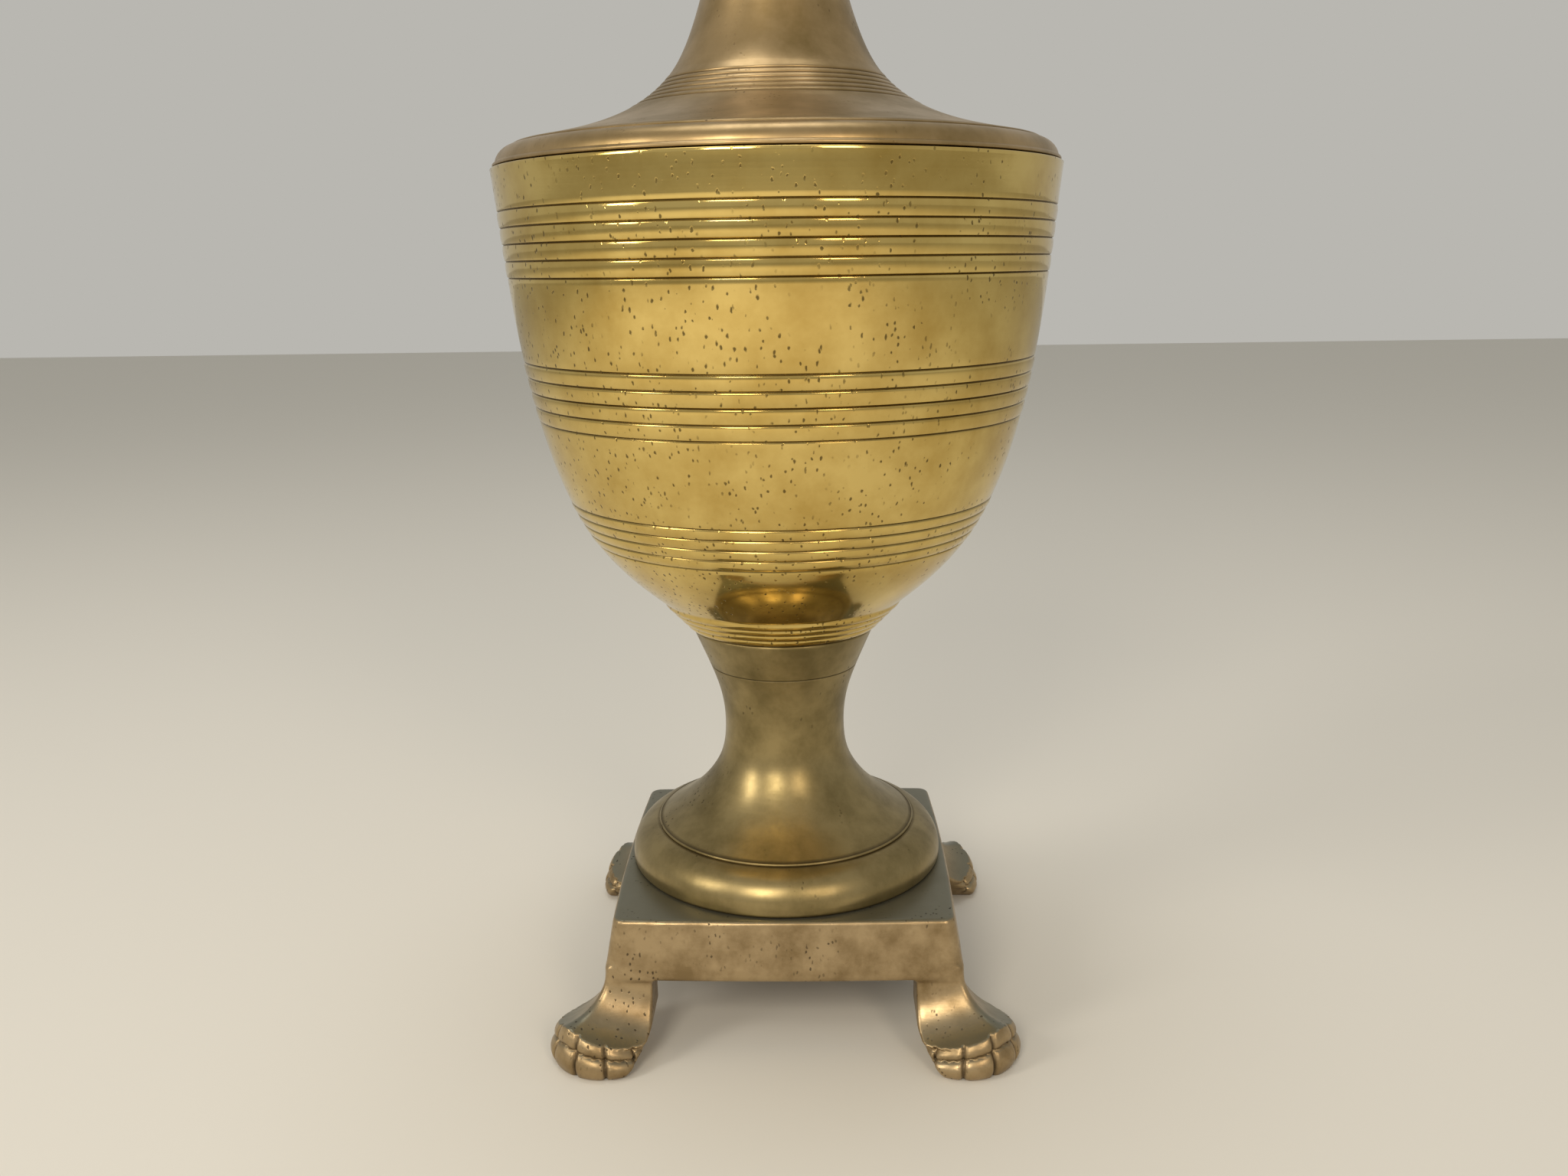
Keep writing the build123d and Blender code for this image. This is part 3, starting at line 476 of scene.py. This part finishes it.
# %% The block with its apron
def side_at(z):
    """Half width of the block at a height: the sides lean out from HALF_TOP to HALF_FOOT."""
    return HALF_FOOT + (HALF_TOP - HALF_FOOT) * np.clip((z - COVE_Z) / (top_z - COVE_Z), 0, 1)


def block_field(x, y, z):
    """Sides lean out and swell towards their middle; the underside is hollow down to the apron."""
    half = side_at(z)
    across = x - half - BOW * (1 - np.minimum(y / half, 1) ** 2) + CORNER
    along = y - half - BOW * (1 - np.minimum(x / half, 1) ** 2) + CORNER
    sides = np.hypot(np.maximum(across, 0), np.maximum(along, 0)) + np.minimum(np.maximum(across, along), 0) - CORNER
    outer = soft_max(sides, z - top_z, 1.6)
    outer = soft_max(outer, APRON_Z - z, 2.0)
    hollow = np.maximum(np.maximum(x, y) - (HALF_TOP - APRON_WALL), z - (top_z - PLATE))
    return soft_max(outer, -hollow, 1.2)


# %% Leg and paw
def cove_field(x, y, z):
    """A hollow of radius COVE_R sweeps from the leg's face out to the toes and rises to the outer corner.

    Above the hollow the leg draws in behind the block's face, so no ledge shows where they join."""
    start = COVE_Z - COVE_RISE * (PAW_AT - x)
    centre = side_at(start) + COVE_R
    scoop = np.hypot(y - centre, z - start) - COVE_R
    above = np.maximum(side_at(z) - 0.35 * (z - start) - y, start - z)
    beyond = np.maximum(centre - y, start - COVE_R - z)
    return -np.minimum(np.minimum(scoop, above), beyond)


def toe_cuts(x, y, z):
    """Share of the toe band's height, and two grooves from 0 to 1: between the toes and across the knuckles."""
    fan = np.degrees(np.arctan2(y - PAW_AT, x - PAW_AT)) - 45
    fan = (fan + 180) % 360 - 180
    edge_z = COVE_Z - COVE_R + COVE_RISE * 19.0 * np.cos(np.radians(45 + np.minimum(np.abs(fan), 95)))
    rise = z / edge_z
    across = np.abs((fan + TOE_DEG / 2) % TOE_DEG - TOE_DEG / 2) / (TOE_DEG / 2)
    between = (np.exp(-((1 - across) / 0.12) ** 2) + 0.30 * across ** 4) * (np.abs(fan) < 86)
    knuckle = np.exp(-((rise - 0.66) / 0.05) ** 2)
    return edge_z, rise, between, knuckle


def toe_field(x, y, z):
    """Five toes fan about the paw's axis, cut by narrow grooves, with a fuller row below the knuckles."""
    edge_z, rise, between, knuckle = toe_cuts(x, y, z)
    rise = np.clip(rise, 0, 1.1)
    over = np.clip((rise - 0.66) / 0.34, 0, 1)
    lower = PAW_R - 2.4 * ((rise - 0.30) / 0.36) ** 2
    upper = PAW_R - 1.6 - 1.7 * over + 0.5 * np.sin(np.pi * over)
    radius = np.where(rise < 0.66, lower, upper) - 0.5 * knuckle - np.where(rise < 0.66, 1.15, 0.9) * between
    flare = np.maximum(z - edge_z, 0)
    return np.hypot(x - PAW_AT, y - PAW_AT) - (radius + 1.3 * flare)


def leg_field(x, y, z):
    """The leg keeps inside both coves, the toes and its own two inner faces, which draw in near the floor."""
    draw = np.clip((13 - z) / 13, 0, 1) ** 1.4
    inner = LEG_IN + UNDERCUT * draw
    faces = soft_max(inner - x, inner - y, 2.0)
    outside = soft_max(soft_max(cove_field(x, y, z), cove_field(y, x, z), 2.6), toe_field(x, y, z), 0.5)
    root = np.maximum(np.maximum(x, y) - (HALF_TOP - APRON_WALL / 2), z - (top_z - PLATE / 2))
    lower = np.maximum(outside, z - COVE_Z)
    return soft_max(faces, np.minimum(lower, root), 1.2)


# %% [markdown]
# The surface is found on a grid of small cells. Where a cell has corners inside and outside, one
# point is set at the mean of the places where the field crosses its edges, and four such cells round
# a crossed edge give one face. This is called a surface net, and it runs as whole arrays. The grid
# covers one quarter and is mirrored twice before the net is drawn, so there is no join to close.

# %% Surface net
def surface_net(field, origin, pitch):
    """Points and quads of the surface where the field is zero."""
    nx, ny, nz = field.shape
    corners = np.array([(i, j, k) for i in (0, 1) for j in (0, 1) for k in (0, 1)])
    inside = field < 0
    count = sum(inside[i:nx - 1 + i, j:ny - 1 + j, k:nz - 1 + k].astype(np.int8) for i, j, k in corners)
    cells = np.argwhere((count > 0) & (count < 8))
    number = np.full((nx - 1, ny - 1, nz - 1), -1, np.int32)
    number[tuple(cells.T)] = np.arange(len(cells))
    value = np.stack([field[tuple((cells + c).T)] for c in corners], axis=1)
    total = np.zeros((len(cells), 3))
    crossings = np.zeros(len(cells))
    for a in range(8):
        for b in range(a + 1, 8):
            if np.abs(corners[a] - corners[b]).sum() != 1:
                continue
            va, vb = value[:, a], value[:, b]
            crossed = (va < 0) != (vb < 0)
            t = np.where(crossed, va / np.where(crossed, va - vb, 1), 0)
            total += crossed[:, None] * (corners[a] + t[:, None] * (corners[b] - corners[a]))
            crossings += crossed
    points = origin + pitch * (cells + total / crossings[:, None])
    quads = []
    for axis in range(3):
        u, v = (axis + 1) % 3, (axis + 2) % 3
        first = np.take(inside, range(field.shape[axis] - 1), axis)
        second = np.take(inside, range(1, field.shape[axis]), axis)
        edges = np.argwhere(first != second)
        edges = edges[(edges[:, u] > 0) & (edges[:, v] > 0)]
        du, dv = np.eye(3, dtype=int)[u], np.eye(3, dtype=int)[v]
        ring4 = np.stack([number[tuple((edges - s).T)] for s in (du + dv, dv, 0 * du, du)], axis=1)
        leaving = first[tuple(edges.T)]
        quads.append(np.where(leaving[:, None], ring4, ring4[:, ::-1]))
    return points, np.concatenate(quads)


# %% Plinth mesh
PITCH = 0.6
reach_xy = PAW_AT + PAW_R + 1.5
xs = (np.arange(int(reach_xy / PITCH)) + 0.5) * PITCH
zs = np.arange(-2, int(top_z / PITCH) + 4) * PITCH - 0.2
x, y, z = np.meshgrid(xs, xs, zs, indexing="ij", sparse=True)
quarter_field = soft_min(block_field(x, y, z), leg_field(x, y, z), 1.6)
quarter_field = np.maximum(soft_max(quarter_field, -z + 0 * x, 0.9), ROD_HOLE - np.hypot(x, y))
half_field = np.concatenate([quarter_field[::-1], quarter_field], axis=0)
whole_field = np.concatenate([half_field[:, ::-1], half_field], axis=1)
origin = np.array([-xs[-1], -xs[-1], zs[0]])
plinth_points, plinth_quads = surface_net(whole_field, origin, PITCH)
print("plinth net:", len(plinth_points), "points", len(plinth_quads), "quads")

# %% [markdown]
# The net is even, so it is far denser than the flat faces need. Decimate joins faces where the surface
# is flat and keeps them small over the toes and the edges.

# %% Plinth piece
raw = bpy.data.meshes.new("plinth_net")
raw.from_pydata((plinth_points * MM).tolist(), [], plinth_quads.tolist())
holder = bpy.data.objects.new("plinth_net", raw)
bpy.context.collection.objects.link(holder)
thin = holder.modifiers.new("thin_flats", "DECIMATE")
thin.ratio = 185000 / (2 * len(plinth_quads))
fitted = bpy.data.meshes.new_from_object(holder.evaluated_get(bpy.context.evaluated_depsgraph_get()))
bpy.data.objects.remove(holder)
points = np.zeros(3 * len(fitted.vertices))
fitted.vertices.foreach_get("co", points)
points = points.reshape(-1, 3)
fitted.calc_loop_triangles()
faces = np.zeros(3 * len(fitted.loop_triangles), np.int32)
fitted.loop_triangles.foreach_get("vertices", faces)


def plinth_dirt_and_shade(points_mm):
    """Darkens between the toes and in the knuckle grooves, below the toe band's top edge: partly dirt, partly painted
    shade.
    """
    px, py, pz = np.abs(points_mm[:, 0]), np.abs(points_mm[:, 1]), points_mm[:, 2]
    _, rise, between, knuckle = toe_cuts(px, py, pz)
    on_toes = (rise < 0.98) & (np.hypot(px - PAW_AT, py - PAW_AT) > PAW_R - 4.5)
    return np.clip(np.maximum(between * 0.75 - 0.2, knuckle * 0.45), 0, 1) * on_toes


plinth = piece("plinth_casting", points, faces.reshape(-1, 3), plinth_dirt_and_shade(points / MM), "plinth")
weigh = plinth.modifiers.new("flat_faces_win", "WEIGHTED_NORMAL")
weigh.mode = "FACE_AREA"
weigh.keep_sharp = True

# %% [markdown]
# ## Aged brass
# Brass is copper and zinc. Polished, it is a yellow mirror with a roughness near 0.1. Handling,
# lacquer that has gone and forty years of air brown it in clouds, pit it with small dark specks and
# leave dirt in what a cloth can't reach. All the brass here is one recipe with different numbers:
# clouds of two colours, turning or brushing marks, specks, and the pieces' own attribute, which darkens
# grooves, gaps and inside corners as partly dirt and partly painted shade.


# %% Brass recipe
def aged_brass(name, clean, aged, dark, rough, marks="turned", mark_mm=0.7, mark_bump=0.02, speck_amount=0.5,
               top_tone_and_reflection=None, cloud_mm=28, cloud_rough=0.12, film=0.0):
    """clean, aged and dark are hex colours; a colour for level faces takes over on them, partly the faces' own duller
    tone and partly a painted reflection of what is above.
    film is the share of the surface under dull oxide and old lacquer, which scatters light as paint does."""
    material = bpy.data.materials.new(name)
    material.use_nodes = True
    tree = material.node_tree
    shader = tree.nodes["Principled BSDF"]
    place = add(tree, "TexCoord").outputs["Object"]
    axis = add(tree, "SeparateXYZ", None, {0: place})
    clouds = add(tree, "TexNoise", None, {"Vector": place, "Scale": 1000 / cloud_mm, "Detail": 5.0, "Roughness": 0.62})
    age = add(tree, "MapRange", None, {"Value": clouds.outputs[0], "From Min": 0.38, "From Max": 0.66})
    colour = add(tree, "Mix", {"data_type": "RGBA"}, {0: age.outputs[0], 6: linear(clean), 7: linear(aged)}).outputs[2]
    # Level faces take another colour: partly their own duller tone, partly a painted reflection of what is above them.
    if top_tone_and_reflection:
        level = add(tree, "SeparateXYZ", None, {0: add(tree, "TexCoord").outputs["Normal"]})
        face = add(tree, "MapRange", None, {"Value": level.outputs["Z"], "From Min": 0.6, "From Max": 0.95})
        colour = add(tree, "Mix", {"data_type": "RGBA"}, {0: face.outputs[0], 6: colour, 7: linear(top_tone_and_reflection)}).outputs[2]

    if marks == "turned":
        flat = add(tree, "CombineXYZ", None, {0: axis.outputs["X"], 1: axis.outputs["Y"]})
        radius = add(tree, "VectorMath", {"operation": "LENGTH"}, {0: flat.outputs[0]})
        grain_at = add(tree, "CombineXYZ", None, {0: radius.outputs["Value"], 2: axis.outputs["Z"]}).outputs[0]
    else:
        grain_at = add(tree, "Mapping", None, {"Vector": place, "Scale": (0.05, 0.05, 1.0)}).outputs[0]
    grain = add(tree, "TexNoise", None, {"Vector": grain_at, "Scale": 1000 / mark_mm, "Detail": 3.0, "Roughness": 0.7})

    shake = add(tree, "TexNoise", None, {"Vector": place, "Scale": 1000 / 1.8, "Detail": 1.0})
    shaken = add(tree, "VectorMath", {"operation": "MULTIPLY_ADD"},
                 {0: shake.outputs["Color"], 1: (0.0009, 0.0009, 0.0018), 2: place})
    long_way = add(tree, "Mapping", None, {"Vector": shaken.outputs[0], "Scale": (1.0, 1.0, 0.6)})
    spots = add(tree, "TexVoronoi", None, {"Vector": long_way.outputs[0], "Scale": 1000 / 2.1, "Randomness": 1.0})
    spot = add(tree, "MapRange", None, {"Value": spots.outputs["Distance"], "From Min": 0.13, "From Max": 0.24,
                                        "To Min": 1.0, "To Max": 0.0})
    crowd = add(tree, "TexNoise", None, {"Vector": place, "Scale": 1000 / 22, "Detail": 2.0})
    leaning = add(tree, "Math", {"operation": "MULTIPLY_ADD"}, {0: axis.outputs["X"], 1: -0.8, 2: crowd.outputs[0]})
    where = add(tree, "MapRange", None, {"Value": leaning.outputs[0], "From Min": 0.66 - 0.3 * speck_amount,
                                         "From Max": 0.80 - 0.3 * speck_amount})
    speck = add(tree, "Math", {"operation": "MULTIPLY"}, {0: spot.outputs[0], 1: where.outputs[0]}).outputs[0]
    # The pieces' attribute darkens grooves, gaps and inside corners, partly dirt and partly painted shade; the specks
    # join it here.
    dirt_and_shade = add(tree, "Attribute", {"attribute_name": "dirt_and_shade"}).outputs["Fac"]
    specks_dirt_and_shade = add(tree, "Math", {"operation": "MAXIMUM", "use_clamp": True},
                {0: dirt_and_shade, 1: add(tree, "Math", {"operation": "MULTIPLY"}, {0: speck, 1: 0.75}).outputs[0]}).outputs[0]
    colour = add(tree, "Mix", {"data_type": "RGBA"}, {0: specks_dirt_and_shade, 6: colour, 7: linear(dark)}).outputs[2]
    tree.links.new(colour, shader.inputs["Base Color"])

    cloudy = add(tree, "MapRange", None, {"Value": clouds.outputs[0], "From Min": 0.3, "From Max": 0.7,
                                          "To Min": rough, "To Max": rough + cloud_rough})
    grained = add(tree, "Math", {"operation": "MULTIPLY_ADD"}, {0: grain.outputs[0], 1: 0.10, 2: cloudy.outputs[0]})
    pitted = add(tree, "Math", {"operation": "MULTIPLY_ADD", "use_clamp": True},
                 {0: specks_dirt_and_shade, 1: 0.3, 2: grained.outputs[0]})
    tree.links.new(pitted.outputs[0], shader.inputs["Roughness"])
    pit = add(tree, "Math", {"operation": "MULTIPLY"}, {0: speck, 1: -0.00008})
    height = add(tree, "Math", {"operation": "MULTIPLY_ADD"}, {0: grain.outputs[0], 1: mark_bump * MM, 2: pit.outputs[0]})
    bump = add(tree, "Bump", None, {"Height": height.outputs[0], "Distance": 1.0, "Strength": 0.6})
    tree.links.new(bump.outputs[0], shader.inputs["Normal"])
    shader.inputs["Metallic"].default_value = 1.0 - film
    return material


# %% Brass finishes
urn_brass = aged_brass("spun_polished_brass", "#DDC277", "#C4A65C", "#2E200E", 0.04, mark_mm=0.9, mark_bump=0.004,
                       speck_amount=1.0, cloud_rough=0.04)
neck_brass = aged_brass("satin_turned_brass", "#AA9168", "#857048", "#2C2012", 0.24, mark_bump=0.02,
                        speck_amount=0.35, film=0.08)
pedestal_brass = aged_brass("turned_brass_olive", "#9A895F", "#786A45", "#2A2114", 0.24, mark_bump=0.02,
                            speck_amount=0.35, cloud_mm=20, film=0.1)
# The olive grey on the plinth's level faces is partly its own tone and partly a painted reflection.
plinth_brass = aged_brass("cast_brass_filed", "#AC9672", "#86714F", "#211A11", 0.24, marks="brushed", mark_mm=0.6,
                          mark_bump=0.03, speck_amount=0.7, top_tone_and_reflection="#7A7868", cloud_mm=12, film=0.2)
harp_brass = aged_brass("drawn_brass_wire", "#B89A5C", "#947A46", "#3A2A12", 0.22, marks="brushed", mark_mm=0.5)
socket_brass = aged_brass("pressed_brass_sheet", "#C2A562", "#A08548", "#3A2A12", 0.2, mark_bump=0.01,
                          speck_amount=0.3)
terminal_brass = aged_brass("bright_brass_screw", "#D6BA74", "#B89A56", "#4A3818", 0.25, speck_amount=0.2)
for made, finish, slot in ((urn, urn_brass, "polished_brass"), (shoulder, neck_brass, "satin_brass"),
                           (neck, neck_brass, "satin_brass"), (collar, neck_brass, "satin_brass"),
                           (cup, neck_brass, "satin_brass"), (pedestal, pedestal_brass, "turned_brass"),
                           (ring, pedestal_brass, "turned_brass"), (plinth, plinth_brass, "cast_brass")):
    made.data.materials.append(finish)

# %% [markdown]
# ## Other materials
# Zinc-plated steel is grey and a little cloudy. The lamp thread is bare rolled aluminium. The switch
# block and knob are pressed phenolic plastic, nearly black with a soft gloss, and the liner in the
# socket is grey-brown vulcanised fibre, which shows short flecks of its paper.


# %% Plain finishes
def finish(name, light_hex, dark_hex, grain_mm, rough, metallic=0.0, stretch=(1.0, 1.0, 1.0), bump_mm=0.02):
    """Two close colours mixed by a fine noise, which also moves the roughness and the surface."""
    material = bpy.data.materials.new(name)
    material.use_nodes = True
    tree = material.node_tree
    shader = tree.nodes["Principled BSDF"]
    place = add(tree, "Mapping", None, {"Vector": add(tree, "TexCoord").outputs["Object"], "Scale": stretch})
    noise = add(tree, "TexNoise", None, {"Vector": place.outputs[0], "Scale": 1000 / grain_mm, "Detail": 4.0})
    colour = add(tree, "Mix", {"data_type": "RGBA"}, {0: noise.outputs[0], 6: linear(light_hex), 7: linear(dark_hex)})
    tree.links.new(colour.outputs[2], shader.inputs["Base Color"])
    gloss = add(tree, "MapRange", None, {"Value": noise.outputs[0], "From Min": 0.3, "From Max": 0.7,
                                         "To Min": rough, "To Max": rough + 0.15})
    tree.links.new(gloss.outputs[0], shader.inputs["Roughness"])
    bump = add(tree, "Bump", None, {"Height": noise.outputs[0], "Distance": bump_mm * MM, "Strength": 0.5})
    tree.links.new(bump.outputs[0], shader.inputs["Normal"])
    shader.inputs["Metallic"].default_value = metallic
    return material


zinc = finish("zinc_plated_steel", "#B9BDBF", "#83888B", 2.5, 0.28, metallic=1.0)
aluminium = finish("rolled_aluminium", "#D8DADB", "#AEB2B4", 1.5, 0.25, metallic=1.0)
phenolic = finish("pressed_phenolic", "#161412", "#241F1B", 0.8, 0.28)
knob_plastic = finish("moulded_phenolic_knob", "#100F0E", "#1F1B18", 0.6, 0.22)
fibre = finish("vulcanised_fibre", "#A6927A", "#6C5A47", 0.9, 0.65, stretch=(1.0, 1.0, 0.25), bump_mm=0.06)

# %% Dress the CAD nodes
node_finish = {
    "center_rod": zinc, "strongback": zinc, "lock_washer": zinc, "rod_nut": zinc, "centring_disc": zinc,
    "urn_washer": zinc, "urn_nut": zinc, "top_nut": zinc, "socket_set_screw": zinc,
    "cord_bushing": phenolic, "switch_block": phenolic, "switch_knob": knob_plastic,
    "socket_cap": socket_brass, "socket_shell": socket_brass, "socket_liner": fibre,
    "terminal_screws": terminal_brass, "centre_contact": terminal_brass, "screw_shell": aluminium,
    "harp_saddle": harp_brass, "harp": harp_brass, "harp_ferrule_left": harp_brass,
    "harp_ferrule_right": harp_brass, "harp_stud": harp_brass, "finial": neck_brass,
}
for node, material in node_finish.items():
    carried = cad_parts[node]
    if not carried.material_slots:
        carried.data.materials.append(material)
    for material_slot in carried.material_slots:
        material_slot.material = material
left_bare = set(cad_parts) - set(node_finish) - {"urn_body", "shoulder_ring", "neck", "neck_collar",
                                                      "vase_cap", "pedestal", "base_ring", "plinth"}
print("nodes without a finish:", left_bare)
